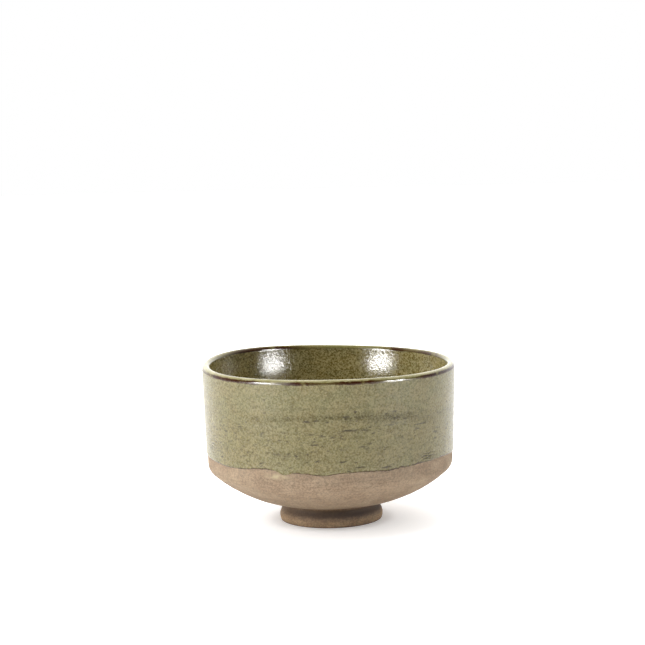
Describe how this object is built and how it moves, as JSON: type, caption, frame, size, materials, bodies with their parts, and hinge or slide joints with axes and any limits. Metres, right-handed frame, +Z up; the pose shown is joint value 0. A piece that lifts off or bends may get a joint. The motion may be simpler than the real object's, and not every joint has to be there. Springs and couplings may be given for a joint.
{
  "type": "matcha bowl",
  "caption": "Wide upright-walled stoneware tea bowl: rounded lip, firm hip, shallow curved underside and flared foot ring, glazed inside and over most of the wall.",
  "frame": {"origin": "centre of the annular face that the foot ring stands on", "axes": "+Z up along the bowl's axis of turning, out of the mouth; -Y towards the side seen in the view that it was modelled from; +X to the right of that view"},
  "size_m": [0.12, 0.12, 0.0754],
  "materials": {
    "bare_stoneware": "matt, fine sandy, fired to a pinkish brown",
    "foot_stoneware": "matt, fine sandy, a little darker than the bowl",
    "outer_glaze": "satin ash glaze, olive green, finely speckled and pitted",
    "inner_glaze": "glossy, dark olive, finely mottled",
    "lip_glaze": "glossy, olive, with a thin iron-brown line where the two coats lap"
  },
  "bodies": {
    "root": {"clay_bowl": "bare_stoneware", "foot_ring": "foot_stoneware", "outer_glaze": "outer_glaze", "inner_glaze": "inner_glaze", "lip_glaze": "lip_glaze"}
  },
  "joints": []
}
